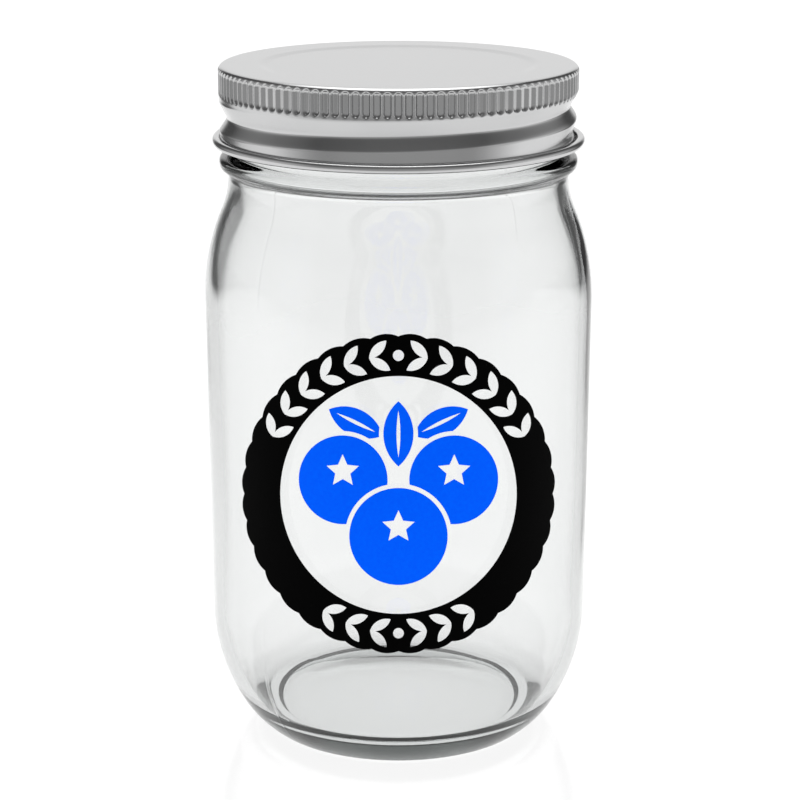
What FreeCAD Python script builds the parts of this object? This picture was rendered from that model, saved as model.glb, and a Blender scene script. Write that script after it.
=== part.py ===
"""Pint mason jar with a one-piece screw cap, in millimetres.

The jar stands on z = 0 with its axis on Z. The printed decoration is on the front, which faces -Y.
Every piece is written to parts/NODE.step:
  glass_jar          moulded glass body, neck, transfer bead and outside thread
  cap_shell          pressed tinplate cap: recessed top, fluted grip, rolled thread and rolled lower edge
  cap_gasket         sealing ring poured into the cap, which meets the jar's rim
  print_black_border black ink, a scalloped round border with leaves left clear
  print_blue_berries blue ink, three berries
  print_blue_leaves  blue ink, three leaves over the berries
"""
import FreeCAD
import Part
import math
import os

from FreeCAD import Vector

os.makedirs("parts", exist_ok=True)

AXIS_POINT = Vector(0, 0, 0)
AXIS = Vector(0, 0, 1)

# ---- driving dimensions of the jar ----
RIM_Z = 137.9                # sealing face of the rim
WALL_LOW_Z = 24.8            # where the heel ends and the straight wall begins
WALL_LOW_R = 39.3
WALL_TOP_Z = 91.6            # where the straight wall ends and the shoulder begins
WALL_TOP_R = 39.75
WALL_T = 2.4                 # glass thickness of the wall and the shoulder
WALL_LEAN = math.atan2(WALL_TOP_R - WALL_LOW_R, WALL_TOP_Z - WALL_LOW_Z)

FOOT_IN_R = 26.2             # inside of the bearing ring under the base
FOOT_ROUND = 1.5             # outside of the bearing ring
FOOT_STEP = (0.9, 0.75)      # inwards and up, from the bearing ring to the hollow
PUSH_UP = 2.0                # height of the hollow under the base
FLOOR_SAG = 0.4              # how far the floor's edge lies below its middle
CORNER_ROUND = 6.2           # arc between the floor and the inside of the heel
CORNER_TURN = math.radians(62)    # how far that arc turns before the heel's inside takes over
CROWN_R = 4.0                # level middle of the floor and of the hollow under it

HEEL_SIDE_RADIUS = 37.5      # big arc that meets the wall
HEEL_SIDE_START = math.radians(58.7)
HEEL_FOOT_START = math.radians(38.0)

SHOULDER_RADIUS = 44.5
SHOULDER_TURN = math.radians(23.8)
NECK_RADIUS = 17.0           # hollow curve between the shoulder and the bead

BEAD_R = 36.3                # transfer bead under the cap
BEAD_Z = 119.7
BEAD_HALF = 1.75
BEAD_TIP_HALF = 0.45         # half height of the bead's upright face
BEAD_LOW_BULGE = (0.62, 0.80)     # a point on the arc under the tip, as shares of its reach and of BEAD_HALF
BEAD_HIGH_BULGE = (0.72, 0.78)    # the same for the arc over the tip
FINISH_R = 33.4              # plain neck wall behind the thread
BORE_R = 30.9
BORE_OVER_NECK = 9.0         # the straight bore ends this far above the neck's narrowest place inside
BORE_EASE = 4.0              # and the slope under it ends this far above
LIP_ROUND = 0.9              # outer edge of the rim
LIP_ROUND_IN = 0.63

# ---- thread shared by the jar and the cap: right-hand, one start ----
PITCH = 5.08
THREAD_REF_Z = 124.62        # height of the cap's thread where THREAD_REF_ANGLE is
THREAD_REF_ANGLE = 270.0
THREAD_START = 290.0         # degrees, low end
THREAD_MIDDLE = 540.0        # degrees, where its two lengths meet, each under a turn
THREAD_END = 800.0           # degrees, high end
THREAD_FADE_LOW = 110.0      # degrees over which the low end comes in
THREAD_FADE_HIGH = 70.0      # degrees over which the high end goes out
THREAD_STEP = 10.0           # degrees between the points of a thread's path
GLASS_THREAD_OVER_CAP = 2.35 # the jar's thread lies this far above the cap's
GLASS_THREAD_R = 34.75       # crest
GLASS_THREAD_ROUND = 1.15
GLASS_THREAD_SINK = 1.4      # how far its ends sink into the neck wall

# ---- driving dimensions of the cap ----
SHEET = 0.3                  # tinplate with its lacquer
GASKET_T = 0.85
GASKET_GAP = 0.05            # between the gasket and the rim
CAP_TOP_Z = RIM_Z + GASKET_GAP + GASKET_T + SHEET
PANEL_R = 26.3               # recessed centre of the top
PANEL_RISE_R = 28.3
PANEL_DEPTH = 0.3
CAP_R = 36.25                # at the edge of the top
CAP_EDGE_ROUND = 1.3
GRIP_TOP_Z = CAP_TOP_Z - 0.75
GRIP_LOW_Z = CAP_TOP_Z - 5.5
BULGE_LOW_Z = CAP_TOP_Z - 6.3     # the plain bulge under the grip
FLUTES = 112
FLUTE_RIDGE_R = 35.95
FLUTE_VALLEY_R = 35.3
FLUTE_RIDGE_SHARE = 0.48     # part of each step that the ridge takes
LEDGE_IN_R = 34.9            # inside of the sheet where the flutes end
SKIRT_R = 36.1
CAP_THREAD_DEPTH = 1.6
CAP_THREAD_ROUND = 2.8
CAP_THREAD_CLEAR = 0.4       # how far the groove's ends come out of the skirt
CUT_PAST = 1.0               # how far the skirt's inside is cut past its ends
CURL_R = 37.6                # rolled lower edge
CURL_ROUND = 0.9
CURL_Z = 124.0
CURL_END = 120.0             # degrees, where the rolled sheet stops

GASKET_IN_R = 29.6
GASKET_OUT_R = 34.6
GASKET_ROUND = 0.3           # lower edges of the ring

# ---- printed decoration, drawn as seen from the front by someone looking slightly down at it ----
PRINT_Z = 60.4               # centre of the decoration on the wall
PRINT_TILT = math.radians(15.7)   # the line of sight's angle below level
PRINT_LIFT = 0.02            # gap between the glass and the ink
PRINT_T = 0.06
SKIN_CLEAR = 0.5             # the skin that the ink is cut from starts this far above the heel
SKIN_OVER = math.radians(4)  # and follows the shoulder's first arc this far
SIGHT_BEFORE = 0.3           # share of a sight column that lies before the drawing's centre
BORDER_OUT_R = 31.4
BORDER_IN_R = 23.3
SCALLOPS = 36
SCALLOP_DEPTH = 0.55
SPRIGS = ((90.0, 6), (270.0, 3))   # middle angle, and pairs of leaves on each side of the middle
SPRIG_STEP = 10.6            # degrees between pairs
SPRIG_FIRST = 0.75           # the first pair's place, in steps from the middle
SPRIG_BUD_R = 1.05
SPRIG_LEAF = (4.7, 1.9)      # length and width
SPRIG_LEAF_TILT = 38.0       # degrees from the border's own direction
SPRIG_LEAF_OFFSET = 1.4      # from the border's middle to a leaf's
BERRIES = ((0.0, -7.9, 9.6), (-10.8, 3.2, 8.7), (10.8, 3.2, 8.7))   # x, up, radius
BERRY_GAP = 0.85
CALYX = (3.3, 1.55)          # outer and inner radius of the star left clear in a berry
CALYX_UP = 0.2               # how far above the berry's centre it sits, as a share of the berry's radius
LEAVES = ((0.0, 12.2, 12.6, 5.8, 90.0), (-8.2, 14.4, 11.6, 5.2, 154.0), (8.2, 14.4, 11.6, 5.2, 26.0))
LEAF_VEIN = (0.72, 0.13)     # vein as a share of the leaf's length and width


def rz(radius, z):
    """A point of an outline, in the plane that is turned about Z."""
    return Vector(radius, 0, z)


def line(a, b):
    return Part.LineSegment(a, b).toShape()


def arc(centre, radius, start, end):
    """An arc about an outline point. Angles are in radians from the outward direction."""
    def at(angle):
        return rz(centre.x + radius * math.cos(angle), centre.z + radius * math.sin(angle))
    return Part.Arc(at(start), at((start + end) / 2), at(end)).toShape()


def heading_arc(start, radius, heading, end_heading):
    """An arc that leaves start in the direction heading and turns inwards to end_heading."""
    centre = rz(start.x - radius * math.sin(heading), start.z + radius * math.cos(heading))
    return arc(centre, radius, heading - math.pi / 2, end_heading - math.pi / 2)


def dome(edge_point, crown_z):
    """An arc from edge_point up to a small level disc on the axis at crown_z."""
    run, rise = edge_point.x - CROWN_R, crown_z - edge_point.z
    radius = (run ** 2 + rise ** 2) / (2 * rise)
    rising = arc(rz(CROWN_R, crown_z - radius), radius, math.acos(run / radius), math.pi / 2)
    return [rising, line(end_of(rising), rz(0, crown_z))]


def end_of(edge):
    return edge.valueAt(edge.LastParameter)


def start_of(edge):
    return edge.valueAt(edge.FirstParameter)


def turned(edges):
    """The solid that a closed outline makes when it is turned about Z."""
    face = Part.Face(Part.Wire(Part.__sortEdges__(edges)))
    solid = face.revolve(AXIS_POINT, AXIS, 360)
    if solid.Volume < 0:
        solid.reverse()
    return solid


def chain(corners):
    """Straight edges through the corners."""
    return [line(a, b) for a, b in zip(corners, corners[1:])]


def closed(edges):
    """Adds the straight edge that closes an open chain of edges."""
    return edges + [line(end_of(edges[-1]), start_of(edges[0]))]


def smooth(share):
    share = min(1.0, max(0.0, share))
    return share * share * (3 - 2 * share)


def thread_share(angle):
    """1 along a thread and 0 past its ends."""
    return smooth((angle - THREAD_START) / THREAD_FADE_LOW) * smooth((THREAD_END - angle) / THREAD_FADE_HIGH)


def thread_z(angle):
    """Height of the cap's thread at an angle in degrees."""
    return THREAD_REF_Z + (angle - THREAD_REF_ANGLE) / 360 * PITCH


def thread_tubes(tube_radius, hidden_r, full_r, lift=0.0):
    """A round bar along the helix, in two lengths. Its centre is at hidden_r at the ends, full_r between."""
    tubes = []
    for first, last in ((THREAD_START, THREAD_MIDDLE), (THREAD_MIDDLE, THREAD_END)):
        count = round((last - first) / THREAD_STEP)
        places = []
        for i in range(count + 1):
            angle = first + i * THREAD_STEP
            radius = hidden_r + (full_r - hidden_r) * thread_share(angle)
            turn = math.radians(angle)
            places.append(Vector(radius * math.cos(turn), radius * math.sin(turn), thread_z(angle) + lift))
        curve = Part.BSplineCurve()
        curve.interpolate(places)
        section = Part.Circle(places[0], curve.tangent(curve.FirstParameter)[0], tube_radius)
        path = Part.Wire(curve.toShape())
        tubes.append(path.makePipeShell([Part.Wire(section.toShape())], True, True))
    return tubes


def write(name, shape):
    shape = shape.removeSplitter() if shape.ShapeType != "Compound" else shape
    if not shape.isValid():
        print("not valid:", name)
    print(name, "solids", len(shape.Solids), "volume mm3", round(shape.Volume, 2))
    shape.exportStep(os.path.join("parts", name + ".step"))


# ---- glass jar ----
def wall_point(z):
    """A point on the outside of the straight wall."""
    return rz(WALL_LOW_R + (z - WALL_LOW_Z) * math.tan(WALL_LEAN), z)


def heel_edges():
    """From the bearing ring up to the straight wall."""
    wall_heading = math.pi / 2 - WALL_LEAN
    drop = HEEL_SIDE_RADIUS * (math.cos(HEEL_SIDE_START) - math.cos(wall_heading))
    run = HEEL_SIDE_RADIUS * (math.sin(wall_heading) - math.sin(HEEL_SIDE_START))
    join = rz(WALL_LOW_R - run, WALL_LOW_Z - drop)
    side = heading_arc(join, HEEL_SIDE_RADIUS, HEEL_SIDE_START, wall_heading)
    # The lower arc's radius and the foot's small round bring the outline down to the bearing ring at z = 0.
    foot_rise = FOOT_ROUND * (1 - math.cos(HEEL_FOOT_START))
    low_radius = (join.z - foot_rise) / (math.cos(HEEL_FOOT_START) - math.cos(HEEL_SIDE_START))
    low_run = low_radius * (math.sin(HEEL_SIDE_START) - math.sin(HEEL_FOOT_START))
    low_start = rz(join.x - low_run, foot_rise)
    low = heading_arc(low_start, low_radius, HEEL_FOOT_START, HEEL_SIDE_START)
    foot_start = rz(low_start.x - FOOT_ROUND * math.sin(HEEL_FOOT_START), 0)
    foot = heading_arc(foot_start, FOOT_ROUND, 0, HEEL_FOOT_START)
    return [foot, low, side]


def shoulder_edges(inward=0.0):
    """The shoulder's two arcs, moved inwards by the glass thickness for the inside."""
    heading = math.pi / 2 - WALL_LEAN
    top = wall_point(WALL_TOP_Z)
    start = rz(top.x - inward * math.sin(heading), top.z + inward * math.cos(heading))
    turn_heading = math.pi / 2 + SHOULDER_TURN
    over = heading_arc(start, SHOULDER_RADIUS - inward, heading, turn_heading)
    bend = end_of(over)
    radius = NECK_RADIUS + inward
    centre = rz(bend.x + radius * math.sin(turn_heading), bend.z - radius * math.cos(turn_heading))
    under = arc(centre, radius, turn_heading + math.pi / 2, math.pi)
    return [over, under]


def bead_edges(neck_end):
    """The transfer bead, from the neck's end to the plain neck wall."""
    bottom = rz(neck_end.x, BEAD_Z - BEAD_HALF)
    tip_low = rz(BEAD_R, BEAD_Z - BEAD_TIP_HALF)
    tip_high = rz(BEAD_R, BEAD_Z + BEAD_TIP_HALF)
    top = rz(FINISH_R, BEAD_Z + BEAD_HALF)
    low_reach, high_reach = BEAD_R - neck_end.x, BEAD_R - FINISH_R
    low_mid = rz(neck_end.x + BEAD_LOW_BULGE[0] * low_reach, BEAD_Z - BEAD_LOW_BULGE[1] * BEAD_HALF)
    high_mid = rz(FINISH_R + BEAD_HIGH_BULGE[0] * high_reach, BEAD_Z + BEAD_HIGH_BULGE[1] * BEAD_HALF)
    low = Part.Arc(bottom, low_mid, tip_low).toShape()
    high = Part.Arc(tip_high, high_mid, top).toShape()
    return [line(neck_end, bottom), low, line(tip_low, tip_high), high]


def rim_edges(start):
    """Up the plain neck wall, over the rounded lip and down into the bore."""
    outer = rz(FINISH_R, RIM_Z - LIP_ROUND)
    lip_out = arc(rz(FINISH_R - LIP_ROUND, RIM_Z - LIP_ROUND), LIP_ROUND, 0, math.pi / 2)
    lip_in = arc(rz(BORE_R + LIP_ROUND_IN, RIM_Z - LIP_ROUND_IN), LIP_ROUND_IN, math.pi / 2, math.pi)
    return [line(start, outer), lip_out, line(end_of(lip_out), start_of(lip_in)), lip_in]


def corner_edges():
    """The inside's rounded corner: a tight arc off the floor, then one as far inside the heel as WALL_T."""
    wall_heading = math.pi / 2 - WALL_LEAN
    centre_r = WALL_LOW_R - HEEL_SIDE_RADIUS * math.sin(wall_heading)
    centre = rz(centre_r, WALL_LOW_Z + HEEL_SIDE_RADIUS * math.cos(wall_heading))
    high = arc(centre, HEEL_SIDE_RADIUS - WALL_T, CORNER_TURN - math.pi / 2, wall_heading - math.pi / 2)
    bend = start_of(high)
    run, rise = CORNER_ROUND * math.sin(CORNER_TURN), CORNER_ROUND * (1 - math.cos(CORNER_TURN))
    low = heading_arc(rz(bend.x - run, bend.z - rise), CORNER_ROUND, 0, CORNER_TURN)
    return low, high


def inside_edges(start):
    """From the bore down the inside to the axis at the floor."""
    inner_over, inner_under = shoulder_edges(WALL_T)
    neck_in = end_of(inner_under)
    bore_low = rz(BORE_R, neck_in.z + BORE_OVER_NECK)
    ease = rz(neck_in.x, neck_in.z + BORE_EASE)
    corner_low, corner_high = corner_edges()
    floor_edge = start_of(corner_low)
    return [
        line(start, bore_low), line(bore_low, ease), line(ease, neck_in), inner_under, inner_over,
        line(start_of(inner_over), end_of(corner_high)), corner_high, corner_low,
    ] + dome(floor_edge, floor_edge.z + FLOOR_SAG)


def base_edges(foot_start):
    """Under the base: the bearing ring and the hollow inside it."""
    foot_in = rz(FOOT_IN_R, 0)
    step = rz(FOOT_IN_R - FOOT_STEP[0], FOOT_STEP[1])
    return dome(step, PUSH_UP) + [line(step, foot_in), line(foot_in, foot_start)]


def glass_jar():
    heel = heel_edges()
    over, under = shoulder_edges()
    bead = bead_edges(end_of(under))
    rim = rim_edges(end_of(bead[-1]))
    inside = inside_edges(end_of(rim[-1]))
    wall = line(end_of(heel[-1]), start_of(over))
    base = base_edges(start_of(heel[0]))
    axis_edge = line(end_of(inside[-1]), end_of(base[1]))
    blank = turned(heel + [wall, over, under] + bead + rim + inside + [axis_edge] + base)
    full_r = GLASS_THREAD_R - GLASS_THREAD_ROUND
    threads = thread_tubes(GLASS_THREAD_ROUND, full_r - GLASS_THREAD_SINK, full_r, GLASS_THREAD_OVER_CAP)
    return blank.fuse(threads)


# ---- cap ----
def cap_top():
    """The recessed top and its rounded edge, down to where the grip begins."""
    under = CAP_TOP_Z - SHEET
    panel = CAP_TOP_Z - PANEL_DEPTH
    rise = math.atan2(PANEL_DEPTH, PANEL_RISE_R - PANEL_R)
    slope = SHEET * math.tan(rise / 2)
    edge_centre = rz(CAP_R - CAP_EDGE_ROUND, CAP_TOP_Z - CAP_EDGE_ROUND)
    grip_angle = math.asin((GRIP_TOP_Z - edge_centre.z) / CAP_EDGE_ROUND)
    edge = arc(edge_centre, CAP_EDGE_ROUND, math.pi / 2, grip_angle)
    corners_out = [rz(0, panel), rz(PANEL_R, panel), rz(PANEL_RISE_R, CAP_TOP_Z), start_of(edge)]
    corners_in = [
        end_of(edge), rz(LEDGE_IN_R, GRIP_TOP_Z), rz(LEDGE_IN_R, under), rz(PANEL_RISE_R + slope, under),
        rz(PANEL_R + slope, panel - SHEET), rz(0, panel - SHEET), rz(0, panel),
    ]
    return turned(chain(corners_out) + [edge] + chain(corners_in))


def flute_outline(inward):
    """The grip's outline, with a rounded ridge and a rounded valley for each flute."""
    step = 2 * math.pi / FLUTES
    share = FLUTE_RIDGE_SHARE - inward / CAP_R / step
    ridge, valley = FLUTE_RIDGE_R - inward, FLUTE_VALLEY_R - inward
    middle = (ridge + valley) / 2
    edges = []
    for i in range(FLUTES):
        def at(radius, part):
            turn = (i + part) * step
            return Vector(radius * math.cos(turn), radius * math.sin(turn), GRIP_LOW_Z)
        edges.append(Part.Arc(at(middle, -share / 2), at(ridge, 0), at(middle, share / 2)).toShape())
        edges.append(Part.Arc(at(middle, share / 2), at(valley, 0.5), at(middle, 1 - share / 2)).toShape())
    return Part.Wire(edges)


def cap_grip():
    sheet = Part.Face(flute_outline(0)).cut(Part.Face(flute_outline(SHEET))).Faces[0]
    return sheet.extrude(Vector(0, 0, GRIP_TOP_Z - GRIP_LOW_Z))


def cap_skirt():
    """From under the grip to the rolled edge, with the thread rolled into it."""
    tool_r = SKIRT_R + CAP_THREAD_ROUND
    hidden_r = tool_r + CAP_THREAD_CLEAR
    full_r = tool_r - CAP_THREAD_DEPTH
    skirt_in = SKIRT_R - SHEET
    below, above = CURL_Z - CUT_PAST, GRIP_LOW_Z + CUT_PAST
    ledge = GRIP_LOW_Z - SHEET
    outside = turned(chain([
        rz(0, CURL_Z), rz(SKIRT_R, CURL_Z), rz(SKIRT_R, BULGE_LOW_Z), rz(CAP_R, GRIP_LOW_Z),
        rz(0, GRIP_LOW_Z), rz(0, CURL_Z),
    ]))
    inside = turned(chain([
        rz(0, below), rz(skirt_in, below), rz(skirt_in, BULGE_LOW_Z), rz(CAP_R - SHEET, ledge),
        rz(LEDGE_IN_R, ledge), rz(LEDGE_IN_R, above), rz(0, above), rz(0, below),
    ]))
    for groove in thread_tubes(CAP_THREAD_ROUND, hidden_r, full_r):
        outside = outside.cut(groove)
    for ridge in thread_tubes(CAP_THREAD_ROUND + SHEET, hidden_r, full_r):
        inside = inside.cut(ridge)
    return outside.cut(inside)


def cap_curl():
    """The rolled lower edge: the sheet runs down, outwards, up and back towards the skirt."""
    centre = rz(CURL_R - CURL_ROUND, CURL_Z)
    end = math.radians(CURL_END)
    start = math.pi
    outer = arc(centre, CURL_ROUND, start, end + 2 * math.pi)
    inner = arc(centre, CURL_ROUND - SHEET, end + 2 * math.pi, start)
    return turned([outer, line(end_of(outer), start_of(inner)), inner, line(end_of(inner), start_of(outer))])


def cap_shell():
    return cap_skirt().fuse(cap_curl()).fuse([cap_grip(), cap_top()])


def cap_gasket():
    low = RIM_Z + GASKET_GAP
    top = low + GASKET_T
    edge = GASKET_ROUND
    edges = [
        line(rz(GASKET_IN_R, top), rz(GASKET_OUT_R, top)),
        line(rz(GASKET_OUT_R, top), rz(GASKET_OUT_R, low + edge)),
        arc(rz(GASKET_OUT_R - edge, low + edge), edge, 0, -math.pi / 2),
        line(rz(GASKET_OUT_R - edge, low), rz(GASKET_IN_R + edge, low)),
        arc(rz(GASKET_IN_R + edge, low + edge), edge, -math.pi / 2, -math.pi),
    ]
    return turned(closed(edges))


# ---- printed decoration ----
SIGHT = Vector(0, math.cos(PRINT_TILT), -math.sin(PRINT_TILT))
DRAWING_UP = Vector(0, math.sin(PRINT_TILT), math.cos(PRINT_TILT))
DRAWING_CENTRE = Vector(0, -(WALL_LOW_R + WALL_TOP_R) / 2, PRINT_Z)


def front(x, up):
    """A point of the flat drawing, which faces the line of sight and touches the wall at its centre."""
    return DRAWING_CENTRE + Vector(x, 0, 0) + DRAWING_UP * up


def disc(x, up, radius):
    return Part.Face(Part.Wire(Part.Circle(front(x, up), SIGHT, radius).toShape()))


def leaf(x, up, length, width, degrees):
    """A pointed leaf made of two arcs, centred on x, up and lying along the angle."""
    along = math.radians(degrees)
    def at(a, b):
        across = a * math.cos(along) - b * math.sin(along)
        return front(x + across, up + a * math.sin(along) + b * math.cos(along))
    tip, tail = at(length / 2, 0), at(-length / 2, 0)
    upper = Part.Arc(tip, at(0, width / 2), tail).toShape()
    lower = Part.Arc(tail, at(0, -width / 2), tip).toShape()
    return Part.Face(Part.Wire([upper, lower]))


def star(x, up, outer, inner, points=5):
    corners = []
    for i in range(2 * points):
        radius = inner if i % 2 else outer
        angle = math.pi / 2 + i * math.pi / points
        corners.append(front(x + radius * math.cos(angle), up + radius * math.sin(angle)))
    return Part.Face(Part.makePolygon(corners + corners[:1]))


def around(radius, degrees):
    """x and up of a place on a circle round the drawing's centre."""
    turn = math.radians(degrees)
    return radius * math.cos(turn), radius * math.sin(turn)


def scalloped_disc():
    step = 360 / SCALLOPS
    low = BORDER_OUT_R - SCALLOP_DEPTH
    edges = []
    for i in range(SCALLOPS):
        ends = [front(*around(low, (i + part) * step)) for part in (0, 1)]
        edges.append(Part.Arc(ends[0], front(*around(BORDER_OUT_R, (i + 0.5) * step)), ends[1]).toShape())
    return Part.Face(Part.Wire(edges))


def sprig(middle_angle, pairs):
    """Leaves in pairs that point along the border to a bud at the sprig's middle."""
    middle_r = (BORDER_IN_R + BORDER_OUT_R - SCALLOP_DEPTH / 2) / 2
    shapes = [disc(*around(middle_r, middle_angle), SPRIG_BUD_R)]
    for side in (-1, 1):
        for i in range(pairs):
            place = middle_angle + side * (i + SPRIG_FIRST) * SPRIG_STEP
            for row in (-1, 1):
                x, up = around(middle_r + row * SPRIG_LEAF_OFFSET, place)
                shapes.append(leaf(x, up, *SPRIG_LEAF, place + 90 + row * side * SPRIG_LEAF_TILT))
    return shapes


def border_drawing():
    return scalloped_disc().cut(disc(0, 0, BORDER_IN_R))


def sprig_drawing():
    shapes = []
    for middle_angle, pairs in SPRIGS:
        shapes += sprig(middle_angle, pairs)
    return Part.makeCompound(shapes)


def berry_drawing():
    """The front berry whole, and the two behind it cut clear of it."""
    shapes = []
    front_x, front_up, front_r = BERRIES[0]
    for i, (x, up, radius) in enumerate(BERRIES):
        clear = [star(x, up + radius * CALYX_UP, *CALYX)]
        if i:
            clear.append(disc(front_x, front_up, front_r + BERRY_GAP))
        shapes.append(disc(x, up, radius).cut(clear))
    return Part.makeCompound(shapes)


def leaf_drawing():
    """The middle leaf whole, the two behind it cut clear of it, and all three clear of the berries."""
    shapes = []
    berries = [disc(x, up, radius + BERRY_GAP) for x, up, radius in BERRIES]
    x, up, length, width, angle = LEAVES[0]
    middle_leaf = leaf(x, up, length + 2 * BERRY_GAP, width + 2 * BERRY_GAP, angle)
    for i, (x, up, length, width, angle) in enumerate(LEAVES):
        vein = leaf(x, up, length * LEAF_VEIN[0], width * LEAF_VEIN[1], angle)
        clear = berries + [vein] + ([middle_leaf] if i else [])
        shapes.append(leaf(x, up, length, width, angle).cut(clear))
    return Part.makeCompound(shapes)


def ink_skin():
    """A thin skin over the straight wall and the first of the shoulder."""
    heading = math.pi / 2 - WALL_LEAN
    chains = []
    for lift in (PRINT_LIFT, PRINT_LIFT + PRINT_T):
        out = rz(math.sin(heading) * lift, -math.cos(heading) * lift)
        low = wall_point(WALL_LOW_Z + SKIN_CLEAR) + out
        top = wall_point(WALL_TOP_Z) + out
        over = heading_arc(top, SHOULDER_RADIUS + lift, heading, heading + SKIN_OVER)
        chains.append((line(low, top), over))
    (wall_in, over_in), (wall_out, over_out) = chains
    lower_end = line(start_of(wall_in), start_of(wall_out))
    upper_end = line(end_of(over_out), end_of(over_in))
    return turned([wall_in, over_in, wall_out, over_out, lower_end, upper_end])


def sight_columns(drawing):
    """Each face of a drawing as a column along the line of sight, from before the jar to behind the ink."""
    reach = WALL_TOP_R
    start = SIGHT * (-SIGHT_BEFORE * reach)
    return [face.translated(start).extrude(SIGHT * reach) for face in drawing.Faces]


def printed(drawing, clear=None):
    """The ink that a drawing leaves on the front of the jar, one solid for each separate patch."""
    skin = ink_skin()
    patches = []
    for column in sight_columns(drawing):
        ink = skin.common(column)
        if clear:
            ink = ink.cut(sight_columns(clear))
        patches += ink.Solids
    return Part.makeCompound(patches)


write("glass_jar", glass_jar())
write("cap_shell", cap_shell())
write("cap_gasket", cap_gasket())
write("print_black_border", printed(border_drawing(), sprig_drawing()))
write("print_blue_berries", printed(berry_drawing()))
write("print_blue_leaves", printed(leaf_drawing()))
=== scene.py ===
"""A clear glass mason jar with a fluted metal screw cap and a printed front, on a pale studio floor.

Blender 4.5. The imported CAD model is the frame. The glass and the cap are finer meshes that stand for their
CAD nodes; the gasket and the prints are the CAD nodes with a finish. The jar's axis is Z, and its front faces
-Y. Shapes are worked out in millimetres and written to the meshes in metres. Angles are in radians.
"""

import math

import bpy
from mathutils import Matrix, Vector, noise


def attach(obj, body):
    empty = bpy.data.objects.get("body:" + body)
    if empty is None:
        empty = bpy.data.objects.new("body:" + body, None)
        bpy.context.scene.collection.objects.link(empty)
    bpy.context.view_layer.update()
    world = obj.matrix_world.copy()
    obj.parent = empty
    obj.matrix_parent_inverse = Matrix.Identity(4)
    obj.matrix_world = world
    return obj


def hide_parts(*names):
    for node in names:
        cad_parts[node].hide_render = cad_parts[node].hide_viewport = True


MM = 0.001
FRONT = math.radians(-90)

# ---- glass jar ----
WALL_LOW = (39.3, 24.8)
WALL_TOP = (39.75, 91.6)
WALL_LEAN = math.atan2(WALL_TOP[0] - WALL_LOW[0], WALL_TOP[1] - WALL_LOW[1])
WALL_T = 2.4
HEEL_SIDE_RADIUS = 37.5
HEEL_SIDE_START = math.radians(58.7)
HEEL_FOOT_START = math.radians(38.0)
FOOT_ROUND = 1.5
FOOT_IN_R = 26.2
PUSH_UP = 2.0
FLOOR_SAG = 0.4
FLOOR_WAVE = 0.06
CORNER_ROUND = 6.2
CORNER_TURN = math.radians(62)
SHOULDER_RADIUS = 44.5
SHOULDER_TURN = math.radians(23.8)
NECK_RADIUS = 17.0
BEAD_R = 36.3
BEAD_Z = 119.7
BEAD_HALF = 1.75
FINISH_R = 33.4
BORE_R = 30.9
RIM_Z = 137.9
LIP_ROUND = 0.9
LIP_ROUND_IN = 0.63
BORE_STRAIGHT = 9.0
BORE_EASE = 4.5
DISH_R = 24.6
DISH_DROP = 1.15
SEAMS = (FRONT - math.radians(44), FRONT + math.radians(136))
SEAM_WIDTH = 0.35
GLASS_COLUMNS = 320
SEAM_COLUMNS = (-0.9, -0.6, -0.4, -0.25, -0.12, 0.0, 0.12, 0.25, 0.4, 0.6, 0.9)

# ---- thread of the jar and the cap ----
PITCH = 5.08
THREAD_REF_Z = 124.62
THREAD_REF_ANGLE = math.radians(270)
THREAD_START = math.radians(290)
THREAD_END = math.radians(800)
THREAD_FADE_LOW = math.radians(110)
THREAD_FADE_HIGH = math.radians(70)
GLASS_THREAD_OVER_CAP = 2.35
GLASS_THREAD_R = 34.75
GLASS_THREAD_ROUND = 1.15

# ---- cap ----
CAP_TOP_Z = 139.1
SHEET = 0.25
PANEL_R = 26.0
PANEL_RISE_R = 28.6
PANEL_DEPTH = 0.3
CAP_R = 36.25
CAP_EDGE_ROUND = 1.2
GRIP_LOW_Z = 133.35
GRIP_TOP_Z = CAP_TOP_Z - 0.55
SKIRT_R = 36.1
SKIRT_STEP_Z = 132.2
SKIRT_STEP_RISE = 1.2
CAP_THREAD_DEPTH = 1.6
GROOVE_ABOVE = 3.3
GROOVE_BELOW = 2.5
FLUTES = 112
FLUTE_DEPTH = 0.6
FLUTE_HALF = 0.93
FLUTE_FLOOR = 0.48
CURL_CENTRE = (36.7, 124.0)
CURL_OUT = 0.9

# ---- camera ----
LENS = 108.0
SENSOR = 36.0
CAMERA_AT = (0.0003, -0.4823, 0.20415)    # metres
CAMERA_DOWN = 15.68                       # degrees below level


def smooth(share):
    """An eased step from 0 to 1."""
    share = min(1.0, max(0.0, share))
    return share * share * (3 - 2 * share)


def spaced(start, end, count):
    """Evenly spaced values, both ends included."""
    return [start + (end - start) * i / count for i in range(count + 1)]


def arc_points(centre, radius, start, end, count):
    """Outline points on an arc. Angles are in radians from the outward direction."""
    angles = spaced(start, end, count)
    return [(centre[0] + radius * math.cos(a), centre[1] + radius * math.sin(a)) for a in angles]


def heading_centre(start, radius, heading):
    """Centre of an arc that leaves start in the direction heading, with its centre on the inner side."""
    return start[0] - radius * math.sin(heading), start[1] + radius * math.cos(heading)


def heading_arc(start, radius, heading, end_heading, count):
    """An arc that leaves start in the direction heading and turns inwards to end_heading."""
    centre = heading_centre(start, radius, heading)
    return arc_points(centre, radius, heading - math.pi / 2, end_heading - math.pi / 2, count)


def straight(a, b, count):
    """Evenly spaced points from a to b."""
    return [(a[0] + (b[0] - a[0]) * i / count, a[1] + (b[1] - a[1]) * i / count) for i in range(count + 1)]


def rounded(a, corner, b, count=4):
    """A soft corner: a curve from a to b that leans towards the corner."""
    points = []
    for i in range(count + 1):
        t = i / count
        weights = ((1 - t) ** 2, 2 * t * (1 - t), t * t)
        points.append(tuple(sum(w * p[k] for w, p in zip(weights, (a, corner, b))) for k in range(2)))
    return points


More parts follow.
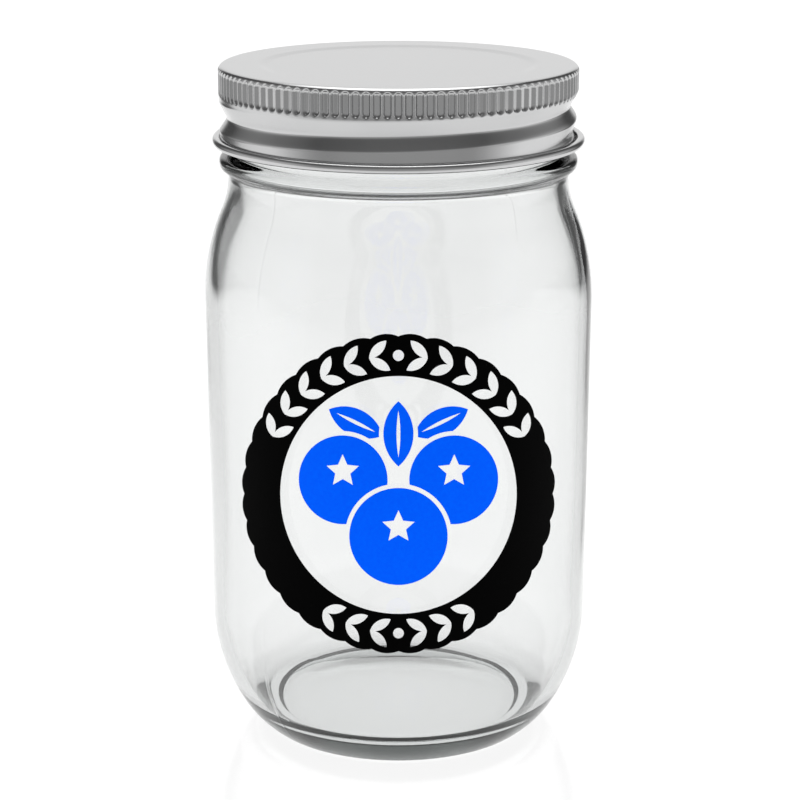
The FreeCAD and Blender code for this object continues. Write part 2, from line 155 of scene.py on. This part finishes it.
def joined(*runs):
    """Runs of points in one list, without the points that repeat where two runs meet."""
    points = []
    for run in runs:
        for p in run:
            if not points or math.dist(p, points[-1]) > 1e-4:
                points.append(p)
    return points


def lathe(name, rows, angles, place):
    """A closed mesh. Rows run from one pole to the other; place(angle, row) gives a point in millimetres."""
    count = len(angles)
    verts = [place(0.0, rows[0])]
    for row in rows[1:-1]:
        verts += [place(angle, row) for angle in angles]
    verts.append(place(0.0, rows[-1]))
    last = len(verts) - 1
    faces = []
    for i in range(count):
        after = (i + 1) % count
        faces.append((0, 1 + after, 1 + i))
        for j in range(len(rows) - 3):
            low, high = 1 + j * count, 1 + (j + 1) * count
            faces.append((low + i, low + after, high + after, high + i))
        low = 1 + (len(rows) - 3) * count
        faces.append((low + i, low + after, last))
    mesh = bpy.data.meshes.new(name)
    mesh.from_pydata([[c * MM for c in v] for v in verts], [], faces)
    mesh.validate()
    mesh.shade_smooth()
    piece = bpy.data.objects.new(name, mesh)
    bpy.context.scene.collection.objects.link(piece)
    return piece


def thread_share(angle):
    """1 along a thread and 0 past its ends."""
    low = smooth((angle - THREAD_START) / THREAD_FADE_LOW)
    high = smooth((THREAD_END - angle) / THREAD_FADE_HIGH)
    return low * high


def thread_turns(angle):
    """For each turn of the thread that passes this side: its height here and how full it is."""
    turns = []
    for k in range(4):
        along = angle % math.tau + k * math.tau
        if THREAD_START <= along <= THREAD_END:
            height = THREAD_REF_Z + (along - THREAD_REF_ANGLE) / math.tau * PITCH
            turns.append((height, thread_share(along)))
    return turns


# ---- glass jar ----
def heel_run():
    """The outside from the foot's flat ring up to the wall: three arcs, each wider than the one below."""
    wall_heading = math.pi / 2 - WALL_LEAN
    drop = HEEL_SIDE_RADIUS * (math.cos(HEEL_SIDE_START) - math.cos(wall_heading))
    run = HEEL_SIDE_RADIUS * (math.sin(wall_heading) - math.sin(HEEL_SIDE_START))
    join = (WALL_LOW[0] - run, WALL_LOW[1] - drop)
    foot_rise = FOOT_ROUND * (1 - math.cos(HEEL_FOOT_START))
    low_radius = (join[1] - foot_rise) / (math.cos(HEEL_FOOT_START) - math.cos(HEEL_SIDE_START))
    low_run = low_radius * (math.sin(HEEL_SIDE_START) - math.sin(HEEL_FOOT_START))
    low_start = (join[0] - low_run, foot_rise)
    foot_start = (low_start[0] - FOOT_ROUND * math.sin(HEEL_FOOT_START), 0.0)
    return joined(
        heading_arc(foot_start, FOOT_ROUND, 0, HEEL_FOOT_START, 6),
        heading_arc(low_start, low_radius, HEEL_FOOT_START, HEEL_SIDE_START, 12),
        heading_arc(join, HEEL_SIDE_RADIUS, HEEL_SIDE_START, wall_heading, 16),
    )


def shoulder_run(inward=0.0):
    """The shoulder's two arcs, moved inwards by the glass thickness for the inside."""
    heading = math.pi / 2 - WALL_LEAN
    start = (WALL_TOP[0] - inward * math.sin(heading), WALL_TOP[1] + inward * math.cos(heading))
    turned = math.pi / 2 + SHOULDER_TURN
    over = heading_arc(start, SHOULDER_RADIUS - inward, heading, turned, 16)
    bend = over[-1]
    radius = NECK_RADIUS + inward
    centre = (bend[0] + radius * math.sin(turned), bend[1] - radius * math.cos(turned))
    return joined(over, arc_points(centre, radius, turned + math.pi / 2, math.pi, 10))


def bead_run(neck):
    """The round bead below the thread, from the neck up to the finish."""
    low, high = BEAD_Z - BEAD_HALF, BEAD_Z + BEAD_HALF
    return joined(
        straight(neck, (neck[0], low - 0.35), 1),
        rounded((neck[0], low - 0.35), (neck[0], low), (neck[0] + 0.5, low + 0.15), 4),
        rounded((neck[0] + 0.5, low + 0.15), (BEAD_R, low + 0.45), (BEAD_R, BEAD_Z - 0.1), 7),
        rounded((BEAD_R, BEAD_Z + 0.1), (BEAD_R, high - 0.5), (FINISH_R + 0.9, high - 0.1), 8),
        rounded((FINISH_R + 0.9, high - 0.1), (FINISH_R, high + 0.05), (FINISH_R, high + 0.7), 5),
    )


def rim_run():
    """Over the rim, from the finish to the bore."""
    return joined(
        arc_points((FINISH_R - LIP_ROUND, RIM_Z - LIP_ROUND), LIP_ROUND, 0, math.pi / 2, 7),
        straight((FINISH_R - LIP_ROUND, RIM_Z), (BORE_R + LIP_ROUND_IN, RIM_Z), 2),
        arc_points((BORE_R + LIP_ROUND_IN, RIM_Z - LIP_ROUND_IN), LIP_ROUND_IN, math.pi / 2, math.pi, 6),
    )


def corner_run():
    """The rounded corner inside, from the floor's edge to the wall, as thick as the wall round the heel."""
    wall_heading = math.pi / 2 - WALL_LEAN
    centre = heading_centre(WALL_LOW, HEEL_SIDE_RADIUS, wall_heading)
    start, end = CORNER_TURN - math.pi / 2, wall_heading - math.pi / 2
    wide = arc_points(centre, HEEL_SIDE_RADIUS - WALL_T, start, end, 18)
    edge_r = wide[0][0] - CORNER_ROUND * math.sin(CORNER_TURN)
    edge_z = wide[0][1] - CORNER_ROUND * (1 - math.cos(CORNER_TURN))
    return joined(heading_arc((edge_r, edge_z), CORNER_ROUND, 0, CORNER_TURN, 14), wide)


def inside_run():
    """From the bore down the inside to the floor's edge."""
    inner = shoulder_run(WALL_T)
    neck = inner[-1]
    corner = corner_run()
    return joined(
        straight((BORE_R, RIM_Z - 1.5), (BORE_R, neck[1] + BORE_STRAIGHT), 6),
        rounded((BORE_R, neck[1] + BORE_STRAIGHT), (BORE_R, neck[1] + BORE_EASE), neck, 8),
        inner[::-1],
        straight(inner[0], corner[-1], 44),
        corner[::-1],
    )


def glass_rows():
    """Rows of the glass from the middle underneath, up the outside, over the rim and down the inside."""
    rows = []

    def add(kind, points):
        rows.extend((kind, r, z) for r, z in points)

    heel = heel_run()
    shoulder = shoulder_run()
    bead = bead_run(shoulder[-1])
    dish_radii = (0, 2, 5, 8, 11, 14, 17, 20, 22.5)
    add("under", [(r, PUSH_UP - DISH_DROP * (r / DISH_R) ** 2) for r in dish_radii])
    add("under", rounded((DISH_R, PUSH_UP - DISH_DROP), (FOOT_IN_R - 0.6, 0.70), (FOOT_IN_R - 0.15, 0.16), 5))
    add("under", rounded((FOOT_IN_R - 0.15, 0.16), (FOOT_IN_R, 0), (FOOT_IN_R + 0.4, 0), 2)[1:])
    add("foot", straight((FOOT_IN_R + 0.8, 0), (heel[0][0] - 0.1, 0), 3))
    add("wall", heel)
    add("wall", straight(heel[-1], WALL_TOP, 40)[1:])
    add("wall", shoulder[1:])
    add("bead", bead[1:])
    add("finish", straight(bead[-1], (FINISH_R, RIM_Z - 1.1), 66)[1:])
    add("bead", rim_run())
    add("inside", inside_run())
    edge_r, edge_z = corner_run()[0]
    crown_z = edge_z + FLOOR_SAG
    floor_radii = (25.5, 23, 20, 17, 14, 11, 8, 5, 2, 0)
    add("floor", [(r, crown_z - FLOOR_SAG * (r / edge_r) ** 2) for r in floor_radii])
    return rows


def glass_angles():
    """Even steps round the jar, with finer ones over the mould seams."""
    angles = set(round(a, 7) for a in spaced(0, math.tau, GLASS_COLUMNS)[:-1])
    for seam in SEAMS:
        for offset in SEAM_COLUMNS:
            angles.add(round((seam + offset / WALL_TOP[0]) % math.tau, 7))
    return sorted(angles)


def seam_height(angle, z):
    """A mould seam stands proud most at the shoulder and the heel."""
    nearest = min(abs((angle - seam + math.pi) % math.tau - math.pi) for seam in SEAMS)
    along = 0.012 + 0.055 * smooth((z - 93) / 6) + 0.03 * smooth((24 - z) / 8)
    return along * math.exp(-((nearest * WALL_TOP[0] / SEAM_WIDTH) ** 2))


def ripple(angle, z):
    """Slow unevenness of the glass inside, left by blowing, stretched along the wall."""
    x, y = math.cos(angle), math.sin(angle)
    slow = noise.noise(Vector((1.6 * x, 1.6 * y, z / 34 + 5)))
    fast = noise.noise(Vector((4.5 * x, 4.5 * y, z / 30 + 9)))
    near_neck = smooth((z - 88) / 14)
    return (0.16 + 0.12 * near_neck) * slow + (0.03 + 0.10 * near_neck) * fast


def glass_thread_r(angle, z):
    """Radius of the thread's round crest at this height, or 0 away from it."""
    best = 0.0
    for height, share in thread_turns(angle):
        rise = z - height - GLASS_THREAD_OVER_CAP
        if abs(rise) < GLASS_THREAD_ROUND:
            centre = GLASS_THREAD_R - GLASS_THREAD_ROUND - 1.4 * (1 - share)
            best = max(best, centre + math.sqrt(GLASS_THREAD_ROUND ** 2 - rise ** 2))
    return best


def glass_point(angle, row):
    """A point of the glass: the row's radius and height, with seams, thread and waves added."""
    kind, r, z = row
    if kind == "wall":
        r += seam_height(angle, z) * smooth(r / 30)
    elif kind == "finish":
        r = max(r, glass_thread_r(angle, z))
    elif kind == "inside":
        r += ripple(angle, z) * smooth((118 - z) / 10) * smooth((z - 14) / 26)
    x, y = r * math.cos(angle), r * math.sin(angle)
    if kind == "floor":
        z += FLOOR_WAVE * noise.noise(Vector((x / 11, y / 11, 5))) * smooth(r / 5)
    return x, y, z


# ---- cap ----
def flank(share):
    """Depth of a rolled groove across its width: 1 at share 0 and 0 at share 1, with a tight bottom."""
    tight, soft = 0.10, 0.12
    deepest = math.sqrt(1 + tight * tight) - tight
    slope = (math.sqrt(share * share + tight * tight) - tight) / deepest
    left = 1 - slope
    return max(0.0, (left + math.sqrt(left * left + soft * soft)) / 2 - soft / 2)


def groove(angle, z):
    """How deep the rolled thread is here, from 0 to 1."""
    rest = 1.0
    for height, share in thread_turns(angle):
        rise = z - height
        width = GROOVE_ABOVE if rise > 0 else GROOVE_BELOW
        rest *= 1 - min(1.0, flank(abs(rise) / width)) * share
    return 1 - rest


def flute(angle, z):
    """How deep the pressed flute is here, from 0 to 1. Each is upright with round ends."""
    step = math.tau / FLUTES
    across = ((angle / step + 0.5) % 1 - 0.5) * step * CAP_R
    middle = (GRIP_LOW_Z + GRIP_TOP_Z) / 2
    half = (GRIP_TOP_Z - GRIP_LOW_Z) / 2 - FLUTE_HALF
    past = max(0.0, abs(z - middle) - half)
    away = min(1.0, math.hypot(across, past) / FLUTE_HALF)
    slope = min(1.0, max(0.0, (away - FLUTE_FLOOR) / (1 - FLUTE_FLOOR)))
    return 1 - 0.7 * slope - 0.3 * smooth(slope)


def side_r(angle, z):
    """Outside radius of the cap's side."""
    skirt = SKIRT_R + (CAP_R - 0.05 - SKIRT_R) * smooth((z - SKIRT_STEP_Z) / SKIRT_STEP_RISE)
    return skirt - FLUTE_DEPTH * flute(angle, z) - CAP_THREAD_DEPTH * groove(angle, z)


def top_z(r):
    """Height of the cap's top outside, with its shallow round recess."""
    return CAP_TOP_Z - PANEL_DEPTH * (1 - smooth((r - PANEL_R) / (PANEL_RISE_R - PANEL_R)))


def cap_rows():
    """Rows of the sheet from the middle of the top, down the outside, round the curl and back up inside."""
    rows = []
    edge_r = CAP_R - CAP_EDGE_ROUND
    edge_z = CAP_TOP_Z - CAP_EDGE_ROUND
    rows += [("top", r, 0) for r in (0, 1.5, 6, 12, 18, 23, 25)]
    rows += [("top", r, 0) for r in spaced(PANEL_R - 0.2, PANEL_RISE_R + 0.2, 14)]
    rows += [("top", r, 0) for r in (29.0, 31.0, 33.0, 34.3)]
    rows += [("edge", edge_r, a) for a in spaced(math.pi / 2, 0.05, 9)]
    rows += [("side", z, 0) for z in spaced(edge_z - 0.05, GRIP_LOW_Z - 0.6, 20)]
    rows += [("side", z, 0) for z in spaced(GRIP_LOW_Z - 0.8, CURL_CENTRE[1] + 0.1, 46)]
    rows += [("curl", CURL_OUT - SHEET, a) for a in spaced(math.pi, math.pi * 2.72, 20)]
    rows += [("curl", CURL_OUT - SHEET / 2, math.pi * 2.74)]
    rows += [("curl", CURL_OUT, a) for a in spaced(math.pi * 2.72, math.pi, 20)]
    rows += [("side", z, SHEET) for z in spaced(CURL_CENTRE[1] + 0.1, GRIP_LOW_Z - 0.8, 46)]
    rows += [("side", z, SHEET) for z in spaced(GRIP_LOW_Z - 0.6, edge_z - 0.05, 20)]
    rows += [("edge in", edge_r, a) for a in spaced(0.05, math.pi / 2, 5)]
    rows += [("top", r, SHEET) for r in (34.3, 33.0, 31.0, 29.0)]
    rows += [("top", r, SHEET) for r in spaced(PANEL_RISE_R + 0.2, PANEL_R - 0.2, 14)]
    rows += [("top", r, SHEET) for r in (25, 23, 18, 12, 6, 1.5, 0)]
    return rows


def cap_point(angle, row):
    """A point of the cap's sheet, from its row's kind and two measures."""
    kind, a, b = row
    if kind == "top":
        r, z = a, top_z(a) - b
    elif kind == "edge":
        r = a + CAP_EDGE_ROUND * math.cos(b)
        z = CAP_TOP_Z - CAP_EDGE_ROUND * (1 - math.sin(b))
        r -= FLUTE_DEPTH * flute(angle, z)
    elif kind == "edge in":
        r = a + (CAP_EDGE_ROUND - SHEET) * math.cos(b)
        z = CAP_TOP_Z - CAP_EDGE_ROUND + (CAP_EDGE_ROUND - SHEET) * math.sin(b)
    elif kind == "side":
        r, z = side_r(angle, a) - b, a
    else:
        r = CURL_CENTRE[0] + a * math.cos(b)
        z = CURL_CENTRE[1] + a * math.sin(b)
    return r * math.cos(angle), r * math.sin(angle), z


# ---- materials ----
def new_material(name):
    material = bpy.data.materials.new(name)
    material.use_nodes = True
    nodes = material.node_tree.nodes
    return material, nodes, material.node_tree.links, nodes["Principled BSDF"]


def noise_texture(nodes, links, scale, detail=3.0, stretch=(1, 1, 1)):
    """3-D noise in object space, in cycles a metre."""
    place = nodes.new("ShaderNodeTexCoord")
    mapping = nodes.new("ShaderNodeMapping")
    mapping.inputs["Scale"].default_value = stretch
    texture = nodes.new("ShaderNodeTexNoise")
    texture.inputs["Scale"].default_value = scale
    texture.inputs["Detail"].default_value = detail
    links.new(place.outputs["Object"], mapping.inputs["Vector"])
    links.new(mapping.outputs["Vector"], texture.inputs["Vector"])
    return texture.outputs["Fac"]


def ranged(nodes, links, source, low, high, from_low=0.3, from_high=0.7):
    """The source's stretch from_low to from_high as a value from low to high, and flat past both."""
    node = nodes.new("ShaderNodeMapRange")
    node.inputs["From Min"].default_value = from_low
    node.inputs["From Max"].default_value = from_high
    node.inputs["To Min"].default_value = low
    node.inputs["To Max"].default_value = high
    links.new(source, node.inputs["Value"])
    return node.outputs["Result"]


def mixed(nodes, links, source, low, high):
    """A colour between low and high."""
    ramp = nodes.new("ShaderNodeValToRGB")
    ramp.color_ramp.elements[0].position = 0.3
    ramp.color_ramp.elements[0].color = (*low, 1)
    ramp.color_ramp.elements[1].position = 0.7
    ramp.color_ramp.elements[1].color = (*high, 1)
    links.new(source, ramp.inputs["Fac"])
    return ramp.outputs["Color"]


def math_node(nodes, links, operation, a, b):
    node = nodes.new("ShaderNodeMath")
    node.operation = operation
    for socket, value in zip(node.inputs, (a, b)):
        if isinstance(value, (int, float)):
            socket.default_value = value
        else:
            links.new(value, socket)
    return node.outputs["Value"]


def product(nodes, links, a, b):
    return math_node(nodes, links, "MULTIPLY", a, b)


def coordinates(nodes, links, kind):
    """X, Y and Z of one kind of texture coordinate."""
    place = nodes.new("ShaderNodeTexCoord")
    split = nodes.new("ShaderNodeSeparateXYZ")
    links.new(place.outputs[kind], split.inputs["Vector"])
    return split.outputs


def bumped(nodes, links, shader, source, strength, distance):
    bump = nodes.new("ShaderNodeBump")
    bump.inputs["Strength"].default_value = strength
    bump.inputs["Distance"].default_value = distance
    links.new(source, bump.inputs["Height"])
    links.new(bump.outputs["Normal"], shader.inputs["Normal"])


def glass_material():
    material, nodes, links, shader = new_material("clear_glass")
    shader.inputs["Transmission Weight"].default_value = 1.0
    shader.inputs["IOR"].default_value = 1.51
    shader.inputs["Roughness"].default_value = 0.0
    smear = noise_texture(nodes, links, 60, 4)
    colour = mixed(nodes, links, smear, (0.99, 0.992, 0.992), (1, 1, 1))
    links.new(colour, shader.inputs["Base Color"])
    links.new(ranged(nodes, links, smear, 0.0, 0.012), shader.inputs["Roughness"])
    volume = nodes.new("ShaderNodeVolumeAbsorption")
    volume.inputs["Color"].default_value = (0.10, 0.15, 0.135, 1)
    volume.inputs["Density"].default_value = 42.0
    links.new(volume.outputs["Volume"], nodes["Material Output"].inputs["Volume"])
    return material


def tinplate_material():
    material, nodes, links, shader = new_material("tinplate")
    shader.inputs["Metallic"].default_value = 1.0
    grain = noise_texture(nodes, links, 900, 4)
    patches = noise_texture(nodes, links, 70, 3)
    colour = mixed(nodes, links, patches, (0.60, 0.603, 0.606), (0.64, 0.64, 0.643))
    links.new(colour, shader.inputs["Base Color"])
    links.new(ranged(nodes, links, patches, 0.14, 0.19), shader.inputs["Roughness"])
    bumped(nodes, links, shader, grain, 0.06, 0.00002)
    return material


def gasket_material():
    material, nodes, links, shader = new_material("plastisol")
    speck = noise_texture(nodes, links, 1500, 3)
    colour = mixed(nodes, links, speck, (0.72, 0.70, 0.65), (0.80, 0.79, 0.75))
    links.new(colour, shader.inputs["Base Color"])
    shader.inputs["Roughness"].default_value = 0.55
    bumped(nodes, links, shader, speck, 0.2, 0.00003)
    return material


def ink_material(name, dark, light, painted_glow):
    """A matt enamel ink. Its emission, set by the last argument, is painted light that brightens the ink
    though ink is no lamp.
    """
    material, nodes, links, shader = new_material(name)
    mottle = noise_texture(nodes, links, 1400, 4)
    colour = mixed(nodes, links, mottle, dark, light)
    links.new(colour, shader.inputs["Base Color"])
    links.new(ranged(nodes, links, mottle, 0.5, 0.62), shader.inputs["Roughness"])
    shader.inputs["Specular IOR Level"].default_value = 0.02
    links.new(colour, shader.inputs["Emission Color"])
    shader.inputs["Emission Strength"].default_value = painted_glow
    bumped(nodes, links, shader, mottle, 0.15, 0.00002)
    return material


def floor_material():
    """A table that glows with painted light, white about the jar and behind it, with painted shade making it
    greyer in front and far out at the sides.
    """
    material, nodes, links, shader = new_material("studio_floor")
    x, y, z = coordinates(nodes, links, "Object")
    across = math_node(nodes, links, "ABSOLUTE", x, 0)
    aside = math_node(nodes, links, "SUBTRACT", across, product(nodes, links, y, 0.05))
    past_side = ranged(nodes, links, aside, 0.0, 0.88, 0.24, 0.36)
    far_side = product(nodes, links, past_side, ranged(nodes, links, y, 0.0, 1.0, 0.32, 0.46))
    near_side = ranged(nodes, links, across, 0.0, 0.35, 0.35, 0.9)
    greyed = math_node(nodes, links, "MAXIMUM", far_side, near_side)
    side = math_node(nodes, links, "SUBTRACT", 1.0, greyed)
    front = ranged(nodes, links, y, 0.27, 1.0, -0.42, -0.08)
    back = ranged(nodes, links, y, 1.0, 0.72, 0.10, 0.75)
    # This product is a painted pool of light: white about the jar, darker in front and far out at the sides.
    # It scales both the floor's colour and its glow.
    painted_floor_light = product(nodes, links, product(nodes, links, side, front), back)
    fleck = noise_texture(nodes, links, 3, 2)
    grey = product(nodes, links, painted_floor_light, ranged(nodes, links, fleck, 0.15, 0.16))
    links.new(grey, shader.inputs["Base Color"])
    # The floor's emission is painted light that washes out the jar's shadow on it.
    shader.inputs["Emission Color"].default_value = (1, 1, 1, 1)
    painted_glow = product(nodes, links, painted_floor_light, ranged(nodes, links, fleck, 0.88, 0.89))
    links.new(painted_glow, shader.inputs["Emission Strength"])
    shader.inputs["Roughness"].default_value = 0.12
    shader.inputs["Specular IOR Level"].default_value = 0.6
    return material


# ---- studio ----
def make_floor():
    half = 6.0
    below = -0.0002
    mesh = bpy.data.meshes.new("floor")
    corners = [(half * x, half * y, below) for x, y in ((-1, -1), (1, -1), (1, 1), (-1, 1))]
    mesh.from_pydata(corners, [], [(0, 1, 2, 3)])
    piece = bpy.data.objects.new("floor", mesh)
    bpy.context.scene.collection.objects.link(piece)
    piece.data.materials.append(floor_material())


def make_world():
    """A bright panel overhead and one behind, dim sides, and a darker room in front."""
    world = bpy.data.worlds.new("studio")
    world.use_nodes = True
    nodes, links = world.node_tree.nodes, world.node_tree.links
    x, y, z = coordinates(nodes, links, "Generated")
    across = math_node(nodes, links, "ABSOLUTE", x, 0)
    middle = ranged(nodes, links, across, 1.0, 0.0, 0.28, 0.42)
    behind = product(nodes, links, middle, ranged(nodes, links, y, 0.0, 0.78, 0.0, 0.3))
    left = ranged(nodes, links, x, 0.5, 0.0, -0.95, -0.6)
    right = ranged(nodes, links, x, 0.0, 0.6, 0.6, 0.95)
    low = ranged(nodes, links, z, 1.0, 0.4, 0.2, 0.6)
    front = product(nodes, links, low, ranged(nodes, links, y, 0.25, 0.0, -0.8, 0.0))
    lean = math_node(nodes, links, "ADD", z, product(nodes, links, y, 0.25))
    overhead = ranged(nodes, links, lean, 0.0, 2.0, 0.84, 0.96)
    sides = product(nodes, links, low, math_node(nodes, links, "MAXIMUM", left, right))
    total = math_node(nodes, links, "MAXIMUM", behind, math_node(nodes, links, "MAXIMUM", sides, front))
    total = math_node(nodes, links, "MAXIMUM", total, overhead)
    background = nodes["Background"]
    background.inputs["Color"].default_value = (1, 1, 1, 1)
    links.new(math_node(nodes, links, "ADD", total, 0.08), background.inputs["Strength"])
    bpy.context.scene.world = world


def make_camera():
    """A long lens in front of the jar, looking a little down."""
    data = bpy.data.cameras.new("camera")
    data.lens = LENS
    data.sensor_width = SENSOR
    camera = bpy.data.objects.new("camera", data)
    camera.location = CAMERA_AT
    camera.rotation_euler = (math.radians(90 - CAMERA_DOWN), 0, 0)
    bpy.context.scene.collection.objects.link(camera)
    bpy.context.scene.camera = camera


def dress(node, material):
    """Gives a CAD node a material in every slot."""
    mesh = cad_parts[node].data
    if not mesh.materials:
        mesh.materials.append(material)
    for i in range(len(mesh.materials)):
        mesh.materials[i] = material


def build():
    """Adds the glass and the cap, and finishes the CAD nodes that stay."""
    glass = lathe("jar_glass", glass_rows(), glass_angles(), glass_point)
    glass.data.materials.append(glass_material())
    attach(glass, "jar")
    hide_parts("glass_jar")

    cap = lathe("cap_tinplate", cap_rows()[::-1], spaced(0, math.tau, FLUTES * 16)[:-1], cap_point)
    cap.data.materials.append(tinplate_material())
    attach(cap, "cap")
    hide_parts("cap_shell")

    dress("cap_gasket", gasket_material())
    black = ink_material("black_ink", (0.0005, 0.0005, 0.0005), (0.0015, 0.0015, 0.0015), 0.0)
    dress("print_black_border", black)
    # The blue ink's emission strength of 0.5 is painted light that brightens the print.
    blue = ink_material("blue_ink", (0.0, 0.095, 0.92), (0.0, 0.11, 0.97), 0.5)
    dress("print_blue_berries", blue)
    dress("print_blue_leaves", blue)


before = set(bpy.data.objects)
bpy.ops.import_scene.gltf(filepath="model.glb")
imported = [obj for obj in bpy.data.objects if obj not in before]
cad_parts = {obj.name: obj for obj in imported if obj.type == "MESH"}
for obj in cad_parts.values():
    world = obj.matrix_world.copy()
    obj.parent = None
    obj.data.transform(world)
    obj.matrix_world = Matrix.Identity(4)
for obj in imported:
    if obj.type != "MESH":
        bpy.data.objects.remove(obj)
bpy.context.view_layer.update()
build()
make_floor()
make_world()
make_camera()
bpy.context.scene.view_settings.view_transform = "Standard"
